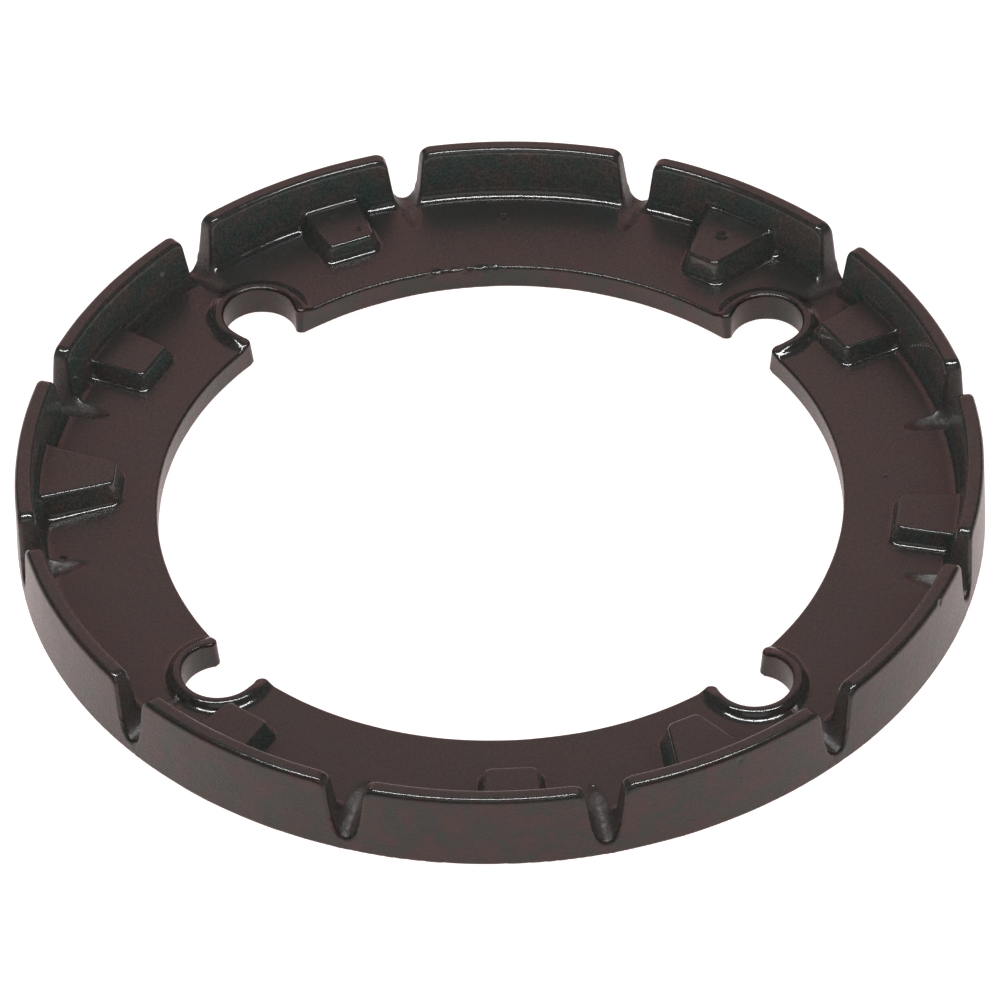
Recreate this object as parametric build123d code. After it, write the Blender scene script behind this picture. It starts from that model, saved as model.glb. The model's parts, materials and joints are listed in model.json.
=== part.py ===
"""Flashing clamp ring with gravel stop, for a round drain body: one sand-cast iron piece.

Millimetres. Z is up, the flat clamping face is at z = 0 and the ring's axis is the Z axis.
A flat web carries an upright outer wall, cut by drain slots into equal segments.
Bolt notches open into the bore, and raised pads stand on the web against the wall.
"""

import math
import os

from build123d import *

# Ring
OUTER_RADIUS = 171.45
BORE_RADIUS = 121.35
WEB_THICKNESS = 9.5
OVERALL_HEIGHT = 29.3
BOTTOM_EDGE_ROUND = 0.5

# Upright wall, thinner at the top for draft
WALL_TOP_OUTER_RADIUS = 170.35
WALL_TOP_INNER_RADIUS = 164.3
WALL_BASE_INNER_RADIUS = 162.3
WALL_BASE_FILLET = 4.0
RIM_OUTER_ROUND = 2.2
RIM_INNER_ROUND = 0.9

# Drain slots
SLOT_COUNT = 12
FIRST_SLOT_ANGLE = 15.0
SLOT_HALF_WIDTH_AT_RIM = 6.4
SLOT_SIDE_DRAFT = 6.7
SLOT_SHOULDER_HEIGHT = 7.5
SLOT_FLOOR_HALF_ANGLE = 55.0
SLOT_FLOOR_ROUND = 2.0
SLOT_SHOULDER_ROUND = 1.8
SEGMENT_CORNER_ROUND = 3.0
SLOT_FLOOR_HEIGHT_OUTSIDE = 5.1
SLOT_GROOVE_INNER_RADIUS = 151.1

# Bolt notches
NOTCH_COUNT = 4
FIRST_NOTCH_ANGLE = 45.0
NOTCH_CENTRE_RADIUS = 130.4
NOTCH_RADIUS = 13.1
NOTCH_HORN_ROUND = 2.5
BEAD_WIDTH = 5.2
BEAD_HEIGHT = 2.5
BEAD_CREST_WIDTH = 2.6
BEAD_ROUND = 1.0
BEAD_ARC = 244.0

# Raised pads, three of each kind, and their outlines as (radius, half width)
PAD_REPEAT = 3
PAD_OUTER_RADIUS = 166.0
PAD_CORNER_ROUND = 2.0
PAD_EDGE_ROUND = 1.0
WIDE_PAD_ANGLE = 60.0
WIDE_PAD_HEIGHT = 8.5
WIDE_PAD_BASE = ((134.6, 7.2), (162.3, 17.6))
WIDE_PAD_TOP = ((136.2, 5.8), (162.3, 14.2))
NARROW_PAD_ANGLES = (34.4, -4.6)
NARROW_PAD_HEIGHT = 6.4
NARROW_PAD_BASE = ((139.6, 10.0), (162.3, 12.2))
NARROW_PAD_TOP = ((141.0, 8.8), (162.3, 10.9))

CUT_CLEARANCE = 2.0


def ring_body():
    """The web and the wall, turned from one section."""
    section = [
        (BORE_RADIUS - CUT_CLEARANCE, 0),
        (OUTER_RADIUS, 0),
        (WALL_TOP_OUTER_RADIUS, OVERALL_HEIGHT),
        (WALL_TOP_INNER_RADIUS, OVERALL_HEIGHT),
        (WALL_BASE_INNER_RADIUS, WEB_THICKNESS),
        (BORE_RADIUS - CUT_CLEARANCE, WEB_THICKNESS),
    ]
    rounds = {1: BOTTOM_EDGE_ROUND, 2: RIM_OUTER_ROUND, 3: RIM_INNER_ROUND, 4: WALL_BASE_FILLET}
    with BuildPart() as body:
        with BuildSketch(Plane.XZ) as sketch:
            with BuildLine():
                Polyline(section, close=True)
            make_face()
            for index, radius in rounds.items():
                corner = Vector(section[index][0], section[index][1])
                nearest = sketch.vertices().sort_by_distance(corner)[0]
                fillet(nearest, radius)
        revolve(axis=Axis.Z)
    return body.part


def notch_places():
    """The centres of the bolt notches."""
    return PolarLocations(NOTCH_CENTRE_RADIUS, NOTCH_COUNT, start_angle=FIRST_NOTCH_ANGLE)


def opening_cutter():
    """The bore with its notches, whose horns are rounded in plan."""
    with BuildPart() as cutter:
        with BuildSketch(Plane.XY.offset(-CUT_CLEARANCE)) as plan:
            Circle(BORE_RADIUS)
            with notch_places():
                Circle(NOTCH_RADIUS)
            horns = [v for v in plan.vertices() if v.center().length < BORE_RADIUS + 1]
            fillet([v for v in horns if abs(v.Y) > 1], NOTCH_HORN_ROUND)
        extrude(amount=OVERALL_HEIGHT + 2 * CUT_CLEARANCE)
    return cutter.part


def notch_bead():
    """The raised bead round one notch, centred on the origin and open towards -X."""
    foot = WEB_THICKNESS - 1
    crest = WEB_THICKNESS + BEAD_HEIGHT
    section = [
        (NOTCH_RADIUS - 1, foot),
        (NOTCH_RADIUS + BEAD_WIDTH, foot),
        (NOTCH_RADIUS + BEAD_WIDTH, WEB_THICKNESS),
        (NOTCH_RADIUS + BEAD_CREST_WIDTH, crest),
        (NOTCH_RADIUS - 1, crest),
    ]
    with BuildPart() as bead:
        with BuildSketch(Plane.XZ) as sketch:
            with BuildLine():
                Polyline(section, close=True)
            make_face()
            top_corner = sketch.vertices().sort_by_distance(Vector(*section[3]))[0]
            fillet(top_corner, BEAD_ROUND)
        revolve(axis=Axis.Z, revolution_arc=BEAD_ARC)
    return bead.part.rotate(Axis.Z, -BEAD_ARC / 2)


def slot_section(radius):
    """The slot's outline, square to the radius, with its floor at that radius's height."""
    fall = WEB_THICKNESS - SLOT_FLOOR_HEIGHT_OUTSIDE
    run = OUTER_RADIUS - SLOT_GROOVE_INNER_RADIUS
    rise = (OUTER_RADIUS - radius) * fall / run
    draft = math.tan(math.radians(SLOT_SIDE_DRAFT))
    shoulder_z = SLOT_SHOULDER_HEIGHT + rise
    shoulder = SLOT_HALF_WIDTH_AT_RIM - (OVERALL_HEIGHT - shoulder_z) * draft
    half_angle = math.radians(SLOT_FLOOR_HALF_ANGLE)
    sharp = SLOT_FLOOR_ROUND * (1 / math.sin(half_angle) - 1)
    tip_z = SLOT_FLOOR_HEIGHT_OUTSIDE + rise - sharp
    rim = SLOT_HALF_WIDTH_AT_RIM
    flare = rim + 2 * SEGMENT_CORNER_ROUND
    lip_z = OVERALL_HEIGHT + 0.4
    top_z = OVERALL_HEIGHT + CUT_CLEARANCE
    right = [(shoulder, shoulder_z), (rim, OVERALL_HEIGHT), (flare, lip_z), (flare, top_z)]
    left = [(-u, z) for u, z in reversed(right)]
    outline = left + [(0, tip_z)] + right
    rounds = {
        2: SEGMENT_CORNER_ROUND,
        3: SLOT_SHOULDER_ROUND,
        4: SLOT_FLOOR_ROUND,
        5: SLOT_SHOULDER_ROUND,
        6: SEGMENT_CORNER_ROUND,
    }
    plane = Plane(origin=(radius, 0, 0), x_dir=(0, 1, 0), z_dir=(1, 0, 0))
    with BuildSketch(plane) as sketch:
        with BuildLine():
            Polyline(outline, close=True)
        make_face()
        for index, size in rounds.items():
            nearest = sketch.vertices().sort_by_distance(Vector(*outline[index]))[0]
            fillet(nearest, size)
    return sketch.sketch


def slot_cutter():
    """One drain slot along +X, through the wall and down into the web."""
    inner = slot_section(SLOT_GROOVE_INNER_RADIUS - 4)
    outer = slot_section(OUTER_RADIUS + 4)
    return loft([inner, outer], ruled=True)


def pad_outline(ends, height):
    """A four-sided outline at a height, with its two inner corners rounded."""
    (inner_radius, inner_half), (wall_radius, wall_half) = ends
    spread = (wall_half - inner_half) / (wall_radius - inner_radius)
    outer_half = inner_half + spread * (PAD_OUTER_RADIUS - inner_radius)
    corners = [
        (inner_radius, -inner_half),
        (PAD_OUTER_RADIUS, -outer_half),
        (PAD_OUTER_RADIUS, outer_half),
        (inner_radius, inner_half),
    ]
    with BuildSketch(Plane.XY.offset(height)) as sketch:
        with BuildLine():
            Polyline(corners, close=True)
        make_face()
        inner_corners = sketch.vertices().sort_by(Axis.X)[:2]
        fillet(inner_corners, PAD_CORNER_ROUND)
    return sketch.sketch


def pad(base, top, height):
    """One drafted pad on the +X axis, its top edges rounded."""
    low = pad_outline(base, WEB_THICKNESS)
    high = pad_outline(top, WEB_THICKNESS + height)
    body = loft([low, high], ruled=True)
    top_face = body.faces().sort_by(Axis.Z)[-1]
    edges = [e for e in top_face.edges() if e.center().X < PAD_OUTER_RADIUS - 1]
    return fillet(edges, PAD_EDGE_ROUND)


def turned(shape, angle):
    """A shape turned about the ring's axis."""
    return shape.rotate(Axis.Z, angle)


def clamp_ring_casting():
    """The whole casting as one solid."""
    ring = ring_body()
    bead = notch_bead()
    for place in notch_places().locations:
        ring += place * bead
    wide = pad(WIDE_PAD_BASE, WIDE_PAD_TOP, WIDE_PAD_HEIGHT)
    narrow = pad(NARROW_PAD_BASE, NARROW_PAD_TOP, NARROW_PAD_HEIGHT)
    for turn in range(PAD_REPEAT):
        step = turn * 360 / PAD_REPEAT
        ring += turned(wide, WIDE_PAD_ANGLE + step)
        for angle in NARROW_PAD_ANGLES:
            ring += turned(narrow, angle + step)
    ring -= opening_cutter()
    cutter = slot_cutter()
    for index in range(SLOT_COUNT):
        ring -= turned(cutter, FIRST_SLOT_ANGLE + index * 360 / SLOT_COUNT)
    return ring


os.makedirs("parts", exist_ok=True)
export_step(clamp_ring_casting(), "parts/clamp_ring_casting.step")
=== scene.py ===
"""Looks for a drain flashing clamp ring: a dip-coated sand casting under plain studio light.

The casting is shaped from a signed distance, in millimetres in the CAD part's own frame.
Everything given to Blender is in metres.
"""

import itertools
import json
import math

import bpy
import numpy as np
from mathutils import Matrix, Vector


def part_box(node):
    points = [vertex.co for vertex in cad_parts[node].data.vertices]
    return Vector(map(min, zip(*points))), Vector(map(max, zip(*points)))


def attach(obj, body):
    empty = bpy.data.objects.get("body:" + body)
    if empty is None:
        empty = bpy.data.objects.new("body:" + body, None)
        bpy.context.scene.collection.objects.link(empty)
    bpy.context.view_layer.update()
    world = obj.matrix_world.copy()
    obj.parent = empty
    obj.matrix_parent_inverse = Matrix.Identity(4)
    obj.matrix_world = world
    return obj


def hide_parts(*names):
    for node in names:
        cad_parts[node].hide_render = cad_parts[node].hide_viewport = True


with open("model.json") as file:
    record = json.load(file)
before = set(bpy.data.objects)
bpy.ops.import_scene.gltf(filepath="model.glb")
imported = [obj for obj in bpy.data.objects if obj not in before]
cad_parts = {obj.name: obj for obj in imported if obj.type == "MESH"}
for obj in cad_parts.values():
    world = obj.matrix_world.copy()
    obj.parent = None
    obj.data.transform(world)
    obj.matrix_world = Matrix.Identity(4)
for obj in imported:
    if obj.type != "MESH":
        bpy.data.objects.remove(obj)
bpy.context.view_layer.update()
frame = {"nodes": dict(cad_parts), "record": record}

MM = 0.001
NODE = "clamp_ring_casting"

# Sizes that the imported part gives, in millimetres and radians
_, node_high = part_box(NODE)
MOUNTS = {mount["name"]: mount for mount in frame["record"]["mounts"]}
NOTCHES = [mount for name, mount in MOUNTS.items() if name.startswith("bolt_notch")]
OPENINGS = frame["record"]["physics"]["openings"]
SLOT_BOXES = [opening["box_m"] for opening in OPENINGS if opening["name"].startswith("drain_slot")]
OUTER_RADIUS = node_high.x / MM
HEIGHT = node_high.z / MM
BORE_RADIUS = MOUNTS["drain_opening"]["dims"]["r_mm"]
WEB = MOUNTS["drain_opening"]["dims"]["length_mm"]
NOTCH_RADIUS = NOTCHES[0]["dims"]["r_mm"]
NOTCH_CENTRE = math.hypot(*NOTCHES[0]["pos_m"][:2]) / MM
NOTCH_ANGLE = math.atan2(NOTCHES[0]["pos_m"][1], NOTCHES[0]["pos_m"][0])
SLOT_CENTRE = (Vector(SLOT_BOXES[0][0]) + Vector(SLOT_BOXES[0][1])) / 2
SLOT_ANGLE = math.atan2(SLOT_CENTRE.y, SLOT_CENTRE.x)

# The wall's taper and its rounds
WALL_DRAFT = 1.1
WALL_INNER_BASE = 162.3
WALL_INNER_DRAFT = 2.0
WALL_FILLET = 4.0
RIM_OUTER_ROUND = 1.9
RIM_INNER_ROUND = 1.8
BOTTOM_ROUND = 0.5

# Drain slots
SLOT_HALF_WIDTH = 6.4
SLOT_DRAFT = math.radians(6.7)
SLOT_FLOOR_HALF_ANGLE = math.radians(55)
SLOT_FLOOR_LOW = 5.1
SLOT_FLOOR_SOFTNESS = 1.6
SLOT_SHOULDER_ROUND = 1.8
SLOT_GROOVE_TIP = 151.1
SLOT_INNER_LIMIT = 148.5
SEGMENT_CORNER_ROUND = 4.4
SLOT_EDGE_ROUND = 1.3

# Bolt notches and the raised bead round each of them
HORN_ROUND_LOW = 1.4
HORN_ROUND_TOP = 2.6
BEAD_HEIGHT = 2.5
BEAD_FOOT = 5.0
BEAD_FLANK = 0.75
BEAD_CREST_ROUND = 0.9
BEAD_FILLET = 1.8
BEAD_TIP_SHARE = 0.35
BEAD_FADE = (-0.75, -0.1)  # cosines of the angle from the bead's middle, where it sinks to that share
BEAD_EDGE_ROUND = 1.3
BORE_EDGE_ROUND = 1.2
EDGE_BLEND = (1, 4)  # distances outside the notch between which one edge round turns into the other

# Raised pads: their places, heights, and base and top outlines as (radius, half width)
PAD_REPEAT = 3
PAD_CORNER_ROUND = 2.0
PAD_EDGE_ROUND = 1.1
PAD_FILLET = 2.1
WIDE_PAD = {
    "height": 8.5,
    "base": ((134.6, 7.2), (162.3, 17.6)),
    "top": ((136.2, 5.8), (162.3, 14.2)),
}
NARROW_PAD = {
    "height": 6.4,
    "base": ((139.6, 10.0), (162.3, 12.2)),
    "top": ((141.0, 8.8), (162.3, 10.9)),
}
PADS = [(60.0, WIDE_PAD), (34.4, NARROW_PAD), (-4.6, NARROW_PAD)]

# Waviness of the sand mould: (lump size, height, random seed)
LATTICE = 32
MOULD_WAVES = ((33, 0.11, 3), (12, 0.06, 4), (5, 0.03, 5))

# Casting marks: (azimuth in degrees, radius, height, size, how far it stands proud), a pit below zero
MARKS = (
    (60.2, 150.8, 18.0, 1.7, -1.02),
    (-24.2, 170.4, 27.6, 1.0, -0.9),
    (-58.7, 170.9, 26.0, 0.8, -0.7),
    (113.5, 146.6, 15.9, 0.8, -0.5),
    (92.4, 149.4, 9.5, 1.5, 0.9),
    (-165.3, 158.2, 9.5, 1.4, 0.8),
    (-166.6, 156.0, 9.5, 1.2, -0.6),
    (141.3, 163.8, 20.0, 1.3, 0.8),
    (5.4, 136.6, 9.5, 0.7, 0.25),
)

# Nicks along the upper edge of the bore, at the back, between two azimuths in degrees
NICKED_ARC = (91.0, 108.0)
NICK_FADE = 0.6
NICK_DEPTH = 0.9
NICK_REACH = 1.6
NICK_SIZE = 1.9
NICK_BIAS = 0.25
NICK_SEED = 11

# Rough sand texture on the slots' floors, where they run out through the web
SAND_HEIGHT = 0.11
SAND_SIZE = 1.7
SAND_SEED = 12
SAND_EDGE = (3.5, 5.5)
SAND_RUN_IN = 5

# The mesh: its fineness, and how its points are drawn onto the surface
VOXEL = 0.65
TRIANGLES = 196000
PROJECTION_STEPS = 3
FINAL_STEPS = 2
LONGEST_MOVE = 1
LEAST_SQUARED_SLOPE = 0.2
RELAX_ROUNDS = 2
RELAX_SHARE = 0.5
SLOPE_STEP = 0.05

# What counts as dull, as inside a slot, as steep and as level: depths, radii and the normal's upward share
DULL_DEPTH = (-1.0, -0.2)
SLOT_DEPTH = (-1.5, 0.0)
SLOT_OUTER_DEPTH = (-0.5, -2.5)
SLOT_RADII = (149, 154)
STEEP_RISE = (0.2, 0.85)
LEVEL_RISE = (0.96, 0.999)

# The coating's colours: on level faces; on steep faces, painted lighter as painted light on the inner
# walls, pad sides and bead flanks; on dull outer faces, painted darker as painted shade; in slots, painted
# lighter as painted light
LEVEL_COOL = (0.054, 0.061, 0.056)
LEVEL_WARM = (0.064, 0.057, 0.053)
# Painted light: steep faces get a far lighter colour than level ones, standing in for light falling on
# them
STEEP_PAINTED_LIGHT_COOL = (0.070, 0.096, 0.087)
STEEP_PAINTED_LIGHT_WARM = (0.120, 0.096, 0.088)
# Painted shade: dull outer faces get a far darker colour than level ones, darkening them as shade would;
# the cool and warm patches between them are the coating's own mottling
DULL_PAINTED_SHADE_COOL = (0.011, 0.017, 0.012)
DULL_PAINTED_SHADE_WARM = (0.040, 0.013, 0.009)
# Painted light: the slots' floors get a lighter colour than the level faces, standing in for light on them
SLOT_PAINTED_LIGHT = (0.085, 0.074, 0.069)
SPECK = (0.012, 0.012, 0.011)

# The coating's noise as (scale per metre, detail, roughness), and the parts of its range that are used
BLOTCH_NOISE = (75, 7, 0.72)
PATCH_NOISE = (120, 5, 0.68)
MOTTLE_NOISE = (240, 3, 0.6)
GRAIN_NOISE = (950, 2, 0.6)
SAND_NOISE = (1900, 2, 0.6)
BLOTCH_RANGE = (0.42, 0.60)
PATCH_RANGE = (0.43, 0.58)
SPECK_RANGE = (0.35, 0.65)
GLOSS_RANGE = (0.3, 0.7)
FULL_RANGE = (0, 1)

# Shares of specks, roughness by kind of face, and bumps: strength on glossy and dull faces, and metres
GRAIN_SPECKS = (0, 0.4)
SAND_SPECKS = (0, 0.35)
EDGE_ROUGHNESS = (0.10, 0.15)
LEVEL_ROUGHNESS = (0.26, 0.36)
DULL_ROUGHNESS = (0.28, 0.38)
SLOT_ROUGHNESS = (0.42, 0.52)
SPECULAR_LEVEL = 0.36
COAT_IOR = 1.5
MOTTLE_BUMP = 0.22
GRAIN_BUMP = (0.03, 0.45)
SAND_BUMP = (0.02, 0.6)
MOTTLE_BUMP_HEIGHT = 0.0004
GRAIN_BUMP_HEIGHT = 0.00022
SAND_BUMP_HEIGHT = 0.00016

# Camera: a long lens above the front of the ring, a little turned and rolled
CAMERA_AZIMUTH = math.radians(-85.787)
CAMERA_ELEVATION = math.radians(43.466)
CAMERA_ROLL = math.radians(-2.018)
CAMERA_DISTANCE = 2.4814
CAMERA_LENS = 252.25
CAMERA_SENSOR = 36
CAMERA_SHIFT = (-0.0012, 0.0143)

# Lights: degrees round from the camera and up, metres away, size in metres, radiance, colour
LIGHTS = {
    "backdrop": (180, 32, 2.4, (3.4, 2.0), 1.07, (1.0, 0.47, 0.455)),
    "overhead": (0, 84, 1.5, (1.5, 0.12), 62.0, (1, 1, 1)),
    "fill": (0, 45, 3.2, (2.4, 1.4), 1.0, (1, 1, 1)),
}
WORLD_STRENGTH = 0.7

FLOOR_HALF_SIZE = 6.0
FLOOR_COLOUR = (0.6, 0.6, 0.6)
FLOOR_ROUGHNESS = 0.9
FLOOR_GLOW = (1.0, 0.84, 0.82)
FLOOR_GLOW_STRENGTH = 1.1


def round_max(a, b, radius):
    """What a and b share, with its edge rounded."""
    inner = np.minimum(np.maximum(a, b), -radius)
    return inner + np.hypot(np.maximum(a + radius, 0), np.maximum(b + radius, 0))


def round_min(a, b, radius):
    """What a or b holds, with a fillet where they meet."""
    return -round_max(-a, -b, radius)


def smooth_step(low, high, value):
    """0 below low, 1 above high, with a soft change between them."""
    t = np.clip((value - low) / (high - low), 0, 1)
    return t * t * (3 - 2 * t)


def turned_to(angle, first, count):
    """The angle from the nearest of count equally spaced places."""
    step = 2 * math.pi / count
    return (angle - first + step / 2) % step - step / 2


def waves(points, size, seed):
    """Smooth random values from -1 to 1, in lumps about size millimetres across."""
    lattice = np.random.default_rng(seed).uniform(-1, 1, (LATTICE, LATTICE, LATTICE))
    cell = points / size
    base = np.floor(cell).astype(int)
    part = cell - base
    part = part * part * (3 - 2 * part)
    total = np.zeros(len(points))
    for corner in itertools.product((0, 1), repeat=3):
        at = (base + corner) % LATTICE
        share = np.prod(np.where(corner, part, 1 - part), axis=1)
        total += share * lattice[at[:, 0], at[:, 1], at[:, 2]]
    return total


def wall_faces(radius, z):
    """Distances to the wall's outer and inner faces."""
    outer_slope = WALL_DRAFT / HEIGHT
    inner_slope = WALL_INNER_DRAFT / (HEIGHT - WEB)
    outer = (radius - OUTER_RADIUS + outer_slope * z) / math.hypot(1, outer_slope)
    inner = (WALL_INNER_BASE + inner_slope * (z - WEB) - radius) / math.hypot(1, inner_slope)
    return outer, inner


def slot_faces(radius, angle, z):
    """Distances to the nearest slot's sides and to the whole slot."""
    turn = turned_to(angle, SLOT_ANGLE, len(SLOT_BOXES))
    along = radius * np.cos(turn)
    across = np.abs(radius * np.sin(turn))
    half_width = SLOT_HALF_WIDTH - (HEIGHT - z) * math.tan(SLOT_DRAFT)
    side = (across - half_width) * math.cos(SLOT_DRAFT)
    fall = (WEB - SLOT_FLOOR_LOW) / (OUTER_RADIUS - SLOT_GROOVE_TIP)
    slant = np.hypot(across, SLOT_FLOOR_SOFTNESS) - SLOT_FLOOR_SOFTNESS
    slant = slant / math.tan(SLOT_FLOOR_HALF_ANGLE)
    floor = SLOT_FLOOR_LOW + (OUTER_RADIUS - along) * fall + slant
    below = (floor - z) * math.sin(SLOT_FLOOR_HALF_ANGLE)
    slot = round_max(side, below, SLOT_SHOULDER_ROUND)
    return side, np.maximum(slot, SLOT_INNER_LIMIT - along)


def notch_frame(radius, angle):
    """Position along and across the nearest notch's own radius, and distance from its centre."""
    turn = turned_to(angle, NOTCH_ANGLE, len(NOTCHES))
    along = radius * np.cos(turn)
    across = np.abs(radius * np.sin(turn))
    return along, across, np.hypot(along - NOTCH_CENTRE, across)


def opening_face(radius, along, across, from_notch, z):
    """Distance to the bore and its notches, whose horns are rounded, more so at the top."""
    plain = np.maximum(BORE_RADIUS - radius, NOTCH_RADIUS - from_notch)
    horn = HORN_ROUND_LOW + (HORN_ROUND_TOP - HORN_ROUND_LOW) * np.clip(z / WEB, 0, 1)
    bore = BORE_RADIUS + horn
    notch = NOTCH_RADIUS + horn
    centre_along = (bore**2 - notch**2 + NOTCH_CENTRE**2) / (2 * NOTCH_CENTRE)
    centre_across = np.sqrt(bore**2 - centre_along**2)
    p = (along - centre_along, across - centre_across)
    to_axis = (-centre_along, -centre_across)
    to_notch = (NOTCH_CENTRE - centre_along, -centre_across)
    past_bore = to_axis[0] * p[1] - to_axis[1] * p[0] >= 0
    past_notch = p[0] * to_notch[1] - p[1] * to_notch[0] >= 0
    return np.where(past_bore & past_notch, np.hypot(*p) - horn, plain)


def deck_face(along, from_notch, z):
    """Distance to the web's upper face with the bead round the nearest notch, lower at the horns."""
    facing = (along - NOTCH_CENTRE) / np.maximum(from_notch, 1)
    share = BEAD_TIP_SHARE + (1 - BEAD_TIP_SHARE) * smooth_step(*BEAD_FADE, facing)
    flank = from_notch - NOTCH_RADIUS - BEAD_FOOT + BEAD_FLANK * (z - WEB)
    flank = flank / math.hypot(1, BEAD_FLANK)
    bead = round_max(flank, z - WEB - BEAD_HEIGHT * share, BEAD_CREST_ROUND)
    return round_min(z - WEB, bead, BEAD_FILLET)


def pad_body(radius, angle, z, place, shape):
    """Distance to the nearest of one kind of pad: drafted sides, rounded corners and edges."""
    turn = turned_to(angle, math.radians(place), PAD_REPEAT)
    along = radius * np.cos(turn)
    across = np.abs(radius * np.sin(turn))
    rise = (z - WEB) / shape["height"]
    (base_in, base_half), (base_out, base_wide) = shape["base"]
    (top_in, top_half), (top_out, top_wide) = shape["top"]
    base_spread = (base_wide - base_half) / (base_out - base_in)
    top_spread = (top_wide - top_half) / (top_out - top_in)
    low = base_half + (along - base_in) * base_spread
    high = top_half + (along - top_in) * top_spread
    lean = np.hypot(1, np.hypot(base_spread, (low - high) / shape["height"]))
    side = (across - low - (high - low) * rise) / lean
    end_lean = math.hypot(1, (top_in - base_in) / shape["height"])
    end = (base_in + (top_in - base_in) * rise - along) / end_lean
    plan = round_max(side, end, PAD_CORNER_ROUND)
    return round_max(plan, z - WEB - shape["height"], PAD_EDGE_ROUND)


def casting(points):
    """Signed distance to the casting's surface, below zero inside the iron."""
    z = points[:, 2]
    radius = np.hypot(points[:, 0], points[:, 1])
    angle = np.arctan2(points[:, 1], points[:, 0])
    outer, inner = wall_faces(radius, z)
    slot_side, slot = slot_faces(radius, angle, z)
    along, across, from_notch = notch_frame(radius, angle)
    top = round_max(z - HEIGHT, -slot_side, SEGMENT_CORNER_ROUND)
    wall = round_max(round_max(top, outer, RIM_OUTER_ROUND), inner, RIM_INNER_ROUND)
    body = round_min(deck_face(along, from_notch, z), wall, WALL_FILLET)
    for place, shape in PADS:
        body = round_min(body, pad_body(radius, angle, z, place, shape), PAD_FILLET)
    body = np.maximum(body, outer)
    blend_start, blend_end = (NOTCH_RADIUS + distance for distance in EDGE_BLEND)
    near_notch = 1 - smooth_step(blend_start, blend_end, from_notch)
    edge = BORE_EDGE_ROUND + (BEAD_EDGE_ROUND - BORE_EDGE_ROUND) * near_notch
    body = round_max(body, opening_face(radius, along, across, from_notch, z), edge)
    body = round_max(body, -slot, SLOT_EDGE_ROUND)
    return round_max(body, -z, BOTTOM_ROUND)


def marks(points):
    """Single lumps and pits."""
    total = np.zeros(len(points))
    for azimuth, radius, height, size, proud in MARKS:
        turn = math.radians(azimuth)
        centre = (radius * math.cos(turn), radius * math.sin(turn), height)
        total += proud * np.exp(-(((points - centre) / size) ** 2).sum(1))
    return total


def nicks(points):
    """The ragged stretch of the bore's upper edge."""
    turn = np.degrees(np.arctan2(points[:, 1], points[:, 0]))
    radius = np.hypot(points[:, 0], points[:, 1])
    middle = sum(NICKED_ARC) / 2
    reach = (NICKED_ARC[1] - NICKED_ARC[0]) / 2
    there = 1 - smooth_step(reach * NICK_FADE, reach, np.abs(turn - middle))
    there *= np.exp(-(((radius - BORE_RADIUS) ** 2 + (points[:, 2] - WEB) ** 2) / NICK_REACH**2))
    return -NICK_DEPTH * there * np.maximum(waves(points, NICK_SIZE, NICK_SEED) + NICK_BIAS, 0)


def rough_floors(points):
    """Coarse sand texture on the floors of the slots."""
    radius = np.hypot(points[:, 0], points[:, 1])
    turn = turned_to(np.arctan2(points[:, 1], points[:, 0]), SLOT_ANGLE, len(SLOT_BOXES))
    there = 1 - smooth_step(*SAND_EDGE, np.abs(radius * np.sin(turn)))
    there *= smooth_step(SLOT_GROOVE_TIP, SLOT_GROOVE_TIP + SAND_RUN_IN, radius)
    return SAND_HEIGHT * there * waves(points, SAND_SIZE, SAND_SEED)


def relief(points):
    """How far the real casting stands off its pattern, in millimetres."""
    total = marks(points) + nicks(points) + rough_floors(points)
    for size, height, seed in MOULD_WAVES:
        total += height * waves(points, size, seed)
    return total


def cast_surface(points):
    """The casting with its relief."""
    return casting(points) - relief(points)


def slope(points, shape=casting):
    """The gradient of a shape's distance."""
    out = np.empty_like(points)
    for axis in range(3):
        shift = np.zeros(3)
        shift[axis] = SLOPE_STEP
        out[:, axis] = (shape(points + shift) - shape(points - shift)) / (2 * SLOPE_STEP)
    return out


def project(points, steps, shape=casting):
    """Moves points onto a shape's surface."""
    for _ in range(steps):
        gradient = slope(points, shape)
        size = np.maximum((gradient**2).sum(1), LEAST_SQUARED_SLOPE)
        move = np.clip(shape(points) / size, -LONGEST_MOVE, LONGEST_MOVE)
        points = points - gradient * move[:, None]
    return points


def unit_rows(vectors):
    """Vectors scaled to length 1."""
    return vectors / np.linalg.norm(vectors, axis=1)[:, None]


def relax(points, edges, share):
    """Moves each point part of the way to the middle of its neighbours."""
    total = np.zeros_like(points)
    count = np.bincount(edges.ravel(), minlength=len(points))
    for one, other in ((0, 1), (1, 0)):
        for axis in range(3):
            total[:, axis] += np.bincount(edges[:, one], points[edges[:, other], axis], len(points))
    return points + share * (total / count[:, None] - points)


def evaluated_copy(source, name):
    """A new object with source's mesh after its modifiers."""
    graph = bpy.context.evaluated_depsgraph_get()
    mesh = bpy.data.meshes.new_from_object(source.evaluated_get(graph), depsgraph=graph)
    mesh.name = name
    made = bpy.data.objects.new(name, mesh)
    bpy.context.scene.collection.objects.link(made)
    return made


def with_modifier(source, name, kind, **settings):
    """A new object made from source by one modifier; source is removed."""
    modifier = source.modifiers.new(kind, kind)
    for key, value in settings.items():
        setattr(modifier, key, value)
    made = evaluated_copy(source, name)
    bpy.data.objects.remove(source)
    return made


def mesh_points(mesh):
    """The mesh's vertices in millimetres."""
    flat = np.empty(len(mesh.vertices) * 3, np.float32)
    mesh.vertices.foreach_get("co", flat)
    return flat.reshape(-1, 3).astype(float) / MM


def mesh_edges(mesh):
    """The mesh's edges as pairs of vertex numbers."""
    flat = np.empty(len(mesh.edges) * 2, np.int32)
    mesh.edges.foreach_get("vertices", flat)
    return flat.reshape(-1, 2)


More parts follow.
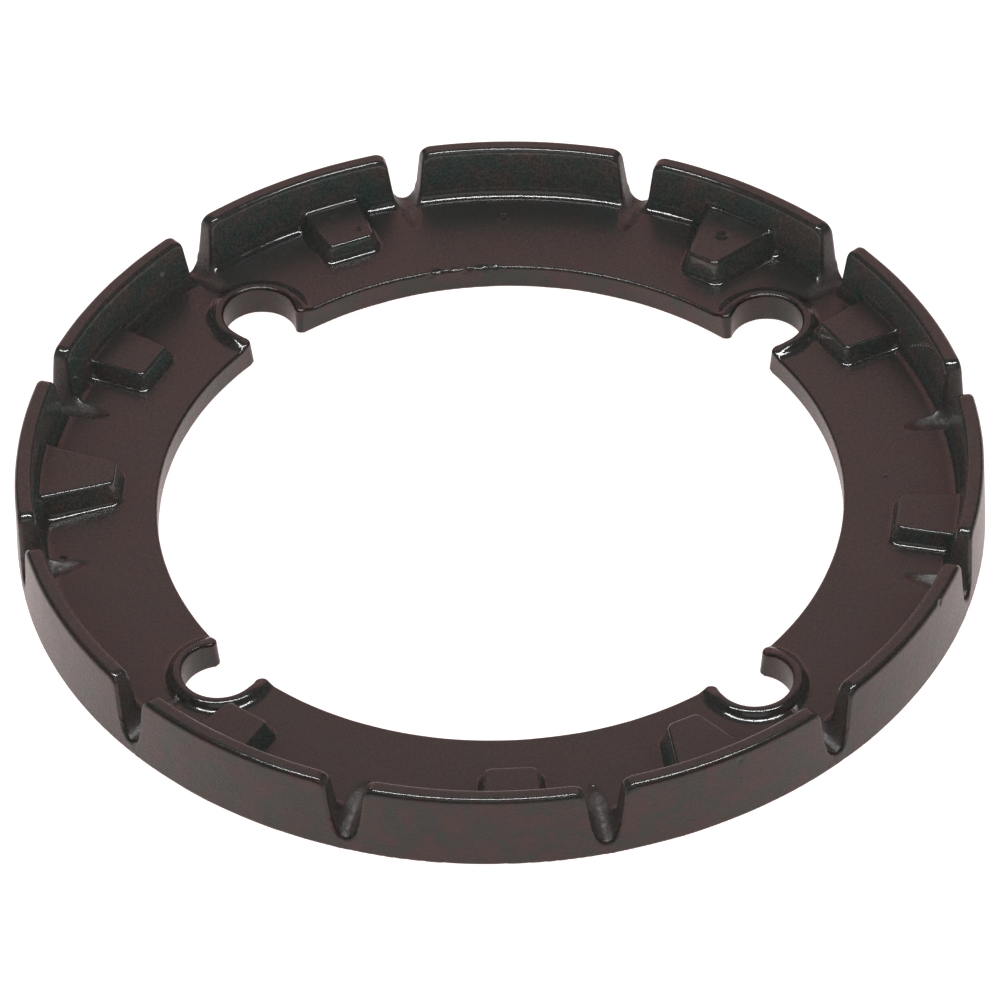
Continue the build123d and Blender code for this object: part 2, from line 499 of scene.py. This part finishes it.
def set_points(mesh, points):
    """Moves the mesh's vertices to points given in millimetres."""
    mesh.vertices.foreach_set("co", (points * MM).astype(np.float32).ravel())
    mesh.update()


def add_attribute(mesh, name, values):
    """A number on each vertex, for the material."""
    attribute = mesh.attributes.new(name, "FLOAT", "POINT")
    attribute.data.foreach_set("value", values.astype(np.float32))


def face_kinds(points):
    """What the material needs to know of each point: which faces are dull, steep, level or in a slot."""
    z = points[:, 2]
    radius = np.hypot(points[:, 0], points[:, 1])
    angle = np.arctan2(points[:, 1], points[:, 0])
    outer, _ = wall_faces(radius, z)
    _, slot = slot_faces(radius, angle, z)
    opening = opening_face(radius, *notch_frame(radius, angle), z)
    # The dull mask sets roughness and bumps, and also places the painted shade of the dull colours
    dull = smooth_step(*DULL_DEPTH, np.maximum(np.maximum(outer, opening), -slot))
    slotted = smooth_step(*SLOT_DEPTH, -slot) * smooth_step(*SLOT_OUTER_DEPTH, outer)
    rise = np.abs(unit_rows(slope(points, cast_surface))[:, 2])
    return {
        "dull": dull,
        "slotted": slotted * smooth_step(*SLOT_RADII, radius),
        # The steep mask places the painted light of the steep-face colours
        "steep": (1 - smooth_step(*STEEP_RISE, rise)) * (1 - dull),
        "level": smooth_step(*LEVEL_RISE, rise),
    }


def make_casting():
    """The casting's mesh: the CAD node remeshed, drawn onto the cast surface, and thinned where flat."""
    rough = evaluated_copy(frame["nodes"][NODE], "rough")
    fine = with_modifier(rough, "fine", "REMESH", mode="VOXEL", voxel_size=VOXEL * MM)
    edges = mesh_edges(fine.data)
    points = project(mesh_points(fine.data), PROJECTION_STEPS)
    for _ in range(RELAX_ROUNDS):
        points = project(relax(points, edges, RELAX_SHARE), 1)
    points += unit_rows(slope(points)) * relief(points)[:, None]
    set_points(fine.data, points)
    share = min(TRIANGLES / (2 * len(fine.data.polygons)), 1)
    made = with_modifier(fine, "ring_casting", "DECIMATE", ratio=share)
    points = project(mesh_points(made.data), FINAL_STEPS, cast_surface)
    points[:, 2] = np.maximum(points[:, 2], 0)
    set_points(made.data, points)
    made.data.shade_smooth()
    made.data.normals_split_custom_set_from_vertices(unit_rows(slope(points, cast_surface)).tolist())
    for name, values in face_kinds(points).items():
        add_attribute(made.data, name, values)
    return made


def node(tree, kind, **inputs):
    """A shader node with its inputs set: a socket is linked, anything else is a value."""
    made = tree.nodes.new(kind)
    for key, value in inputs.items():
        socket = made.inputs[key.replace("_", " ")]
        if isinstance(value, bpy.types.NodeSocket):
            tree.links.new(value, socket)
        else:
            socket.default_value = value
    return made


def noise(tree, place, settings):
    """A noise texture's value, with its scale, detail and roughness."""
    scale, detail, roughness = settings
    made = node(
        tree, "ShaderNodeTexNoise", Vector=place, Scale=scale, Detail=detail, Roughness=roughness
    )
    return made.outputs["Fac"]


def span(tree, value, source, target):
    """A value mapped from one range to another, and kept in it."""
    settings = {"From_Min": source[0], "From_Max": source[1], "To_Min": target[0], "To_Max": target[1]}
    return node(tree, "ShaderNodeMapRange", Value=value, **settings).outputs["Result"]


def blend_colours(tree, share, first, second):
    """Two colours mixed by a share."""
    made = tree.nodes.new("ShaderNodeMix")
    made.data_type = "RGBA"
    tree.links.new(share, made.inputs["Factor"])
    for socket, value in ((made.inputs["A"], first), (made.inputs["B"], second)):
        if isinstance(value, bpy.types.NodeSocket):
            tree.links.new(value, socket)
        else:
            socket.default_value = (*value, 1)
    return made.outputs["Result"]


def blend_values(tree, share, first, second):
    """Two values mixed by a share."""
    made = node(tree, "ShaderNodeMix", Factor=share)
    tree.links.new(first, made.inputs["A"])
    tree.links.new(second, made.inputs["B"])
    return made.outputs["Result"]


def bump(tree, height, strength, distance, under=None):
    """A bump of a height, on top of another bump."""
    made = node(tree, "ShaderNodeBump", Height=height, Strength=strength, Distance=distance)
    if under is not None:
        tree.links.new(under, made.inputs["Normal"])
    return made.outputs["Normal"]


def attribute(tree, name):
    """A number that the mesh holds on each vertex."""
    made = tree.nodes.new("ShaderNodeAttribute")
    made.attribute_name = name
    return made.outputs["Fac"]


def coated_iron():
    """Black-brown dip coating over sand-cast iron."""
    material = bpy.data.materials.new("coated_cast_iron")
    material.use_nodes = True
    tree = material.node_tree
    shader = tree.nodes["Principled BSDF"]
    place = tree.nodes.new("ShaderNodeTexCoord").outputs["Object"]
    dull = attribute(tree, "dull")
    slotted = attribute(tree, "slotted")
    blotch = span(tree, noise(tree, place, BLOTCH_NOISE), BLOTCH_RANGE, FULL_RANGE)
    patches = span(tree, noise(tree, place, PATCH_NOISE), PATCH_RANGE, FULL_RANGE)
    mottle = noise(tree, place, MOTTLE_NOISE)
    grain = noise(tree, place, GRAIN_NOISE)
    sand = noise(tree, place, SAND_NOISE)

    colour = blend_colours(tree, blotch, LEVEL_COOL, LEVEL_WARM)
    steep_painted_light_colour = blend_colours(tree, blotch, STEEP_PAINTED_LIGHT_COOL, STEEP_PAINTED_LIGHT_WARM)
    dull_painted_shade_colour = blend_colours(tree, patches, DULL_PAINTED_SHADE_COOL, DULL_PAINTED_SHADE_WARM)
    # Painted light: steep faces are mixed to the lighter steep colour
    colour = blend_colours(tree, attribute(tree, "steep"), colour, steep_painted_light_colour)
    # Painted shade: dull faces are mixed to the darker dull colour
    colour = blend_colours(tree, dull, colour, dull_painted_shade_colour)
    # Painted light: slot floors are mixed to the lighter slot colour
    colour = blend_colours(tree, slotted, colour, SLOT_PAINTED_LIGHT)
    colour = blend_colours(tree, span(tree, grain, SPECK_RANGE, GRAIN_SPECKS), colour, SPECK)
    colour = blend_colours(tree, span(tree, sand, SPECK_RANGE, SAND_SPECKS), colour, SPECK)
    tree.links.new(colour, shader.inputs["Base Color"])

    edge_gloss = span(tree, mottle, GLOSS_RANGE, EDGE_ROUGHNESS)
    level_gloss = span(tree, grain, GLOSS_RANGE, LEVEL_ROUGHNESS)
    dull_gloss = span(tree, grain, GLOSS_RANGE, DULL_ROUGHNESS)
    slot_gloss = span(tree, grain, GLOSS_RANGE, SLOT_ROUGHNESS)
    gloss = blend_values(tree, attribute(tree, "level"), edge_gloss, level_gloss)
    gloss = blend_values(tree, dull, gloss, dull_gloss)
    gloss = blend_values(tree, slotted, gloss, slot_gloss)
    tree.links.new(gloss, shader.inputs["Roughness"])
    shader.inputs["Specular IOR Level"].default_value = SPECULAR_LEVEL
    shader.inputs["IOR"].default_value = COAT_IOR

    grain_strength = span(tree, dull, FULL_RANGE, GRAIN_BUMP)
    sand_strength = span(tree, dull, FULL_RANGE, SAND_BUMP)
    relief_map = bump(tree, mottle, MOTTLE_BUMP, MOTTLE_BUMP_HEIGHT)
    relief_map = bump(tree, grain, grain_strength, GRAIN_BUMP_HEIGHT, relief_map)
    relief_map = bump(tree, sand, sand_strength, SAND_BUMP_HEIGHT, relief_map)
    tree.links.new(relief_map, shader.inputs["Normal"])
    return material


def set_material(piece, material):
    """Gives a piece one material in place of any it has."""
    piece.data.materials.clear()
    piece.data.materials.append(material)


def direction(azimuth, elevation):
    """A unit vector from an azimuth, counted from +X, and an elevation, in radians."""
    flat = math.cos(elevation)
    return Vector((flat * math.cos(azimuth), flat * math.sin(azimuth), math.sin(elevation)))


def make_camera():
    """The camera at the pose fitted to the ring's circles."""
    back = direction(CAMERA_AZIMUTH, CAMERA_ELEVATION)
    side = Vector((0, 0, 1)).cross(back).normalized()
    up = back.cross(side)
    across = side * math.cos(CAMERA_ROLL) + up * math.sin(CAMERA_ROLL)
    upright = up * math.cos(CAMERA_ROLL) - side * math.sin(CAMERA_ROLL)
    data = bpy.data.cameras.new("camera")
    data.sensor_fit = "HORIZONTAL"
    data.sensor_width = CAMERA_SENSOR
    data.lens = CAMERA_LENS
    data.shift_x, data.shift_y = CAMERA_SHIFT
    camera = bpy.data.objects.new("camera", data)
    bpy.context.scene.collection.objects.link(camera)
    turn = Matrix((across, upright, back)).transposed().to_4x4()
    camera.matrix_world = Matrix.Translation(back * CAMERA_DISTANCE) @ turn
    bpy.context.scene.camera = camera


def softbox(name, azimuth, elevation, distance, size, radiance, colour):
    """A rectangular light of a given brightness that faces the ring and shows in its gloss only."""
    data = bpy.data.lights.new(name, "AREA")
    data.shape = "RECTANGLE"
    data.size, data.size_y = size
    data.energy = radiance * math.pi * size[0] * size[1]
    data.color = colour
    lamp = bpy.data.objects.new(name, data)
    lamp.visible_diffuse = False
    bpy.context.scene.collection.objects.link(lamp)
    away = direction(math.radians(azimuth), math.radians(elevation))
    lamp.location = away * distance
    lamp.rotation_mode = "QUATERNION"
    lamp.rotation_quaternion = away.to_track_quat("Z", "Y")


def make_lights():
    """The softboxes, and even light from a world that doesn't show in the gloss."""
    front = math.degrees(CAMERA_AZIMUTH)
    for name, (azimuth, elevation, distance, size, radiance, colour) in LIGHTS.items():
        softbox(name, front + azimuth, elevation, distance, size, radiance, colour)
    world = bpy.data.worlds.new("studio")
    bpy.context.scene.world = world
    world.use_nodes = True
    background = world.node_tree.nodes["Background"]
    background.inputs["Color"].default_value = (1, 1, 1, 1)
    background.inputs["Strength"].default_value = WORLD_STRENGTH
    world.cycles_visibility.glossy = False


def make_floor():
    """A pale floor, bright enough to come out white."""
    mesh = bpy.data.meshes.new("floor")
    half = FLOOR_HALF_SIZE
    corners = [(-half, -half, 0), (half, -half, 0), (half, half, 0), (-half, half, 0)]
    mesh.from_pydata(corners, [], [(0, 1, 2, 3)])
    floor = bpy.data.objects.new("floor", mesh)
    bpy.context.scene.collection.objects.link(floor)
    material = bpy.data.materials.new("pale_floor")
    material.use_nodes = True
    shader = material.node_tree.nodes["Principled BSDF"]
    shader.inputs["Base Color"].default_value = (*FLOOR_COLOUR, 1)
    shader.inputs["Roughness"].default_value = FLOOR_ROUGHNESS
    shader.inputs["Emission Color"].default_value = (*FLOOR_GLOW, 1)
    shader.inputs["Emission Strength"].default_value = FLOOR_GLOW_STRENGTH
    set_material(floor, material)


ring = make_casting()
set_material(ring, coated_iron())
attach(ring, "root")
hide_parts(NODE)

make_camera()
make_lights()
make_floor()
bpy.context.scene.view_settings.view_transform = "Standard"
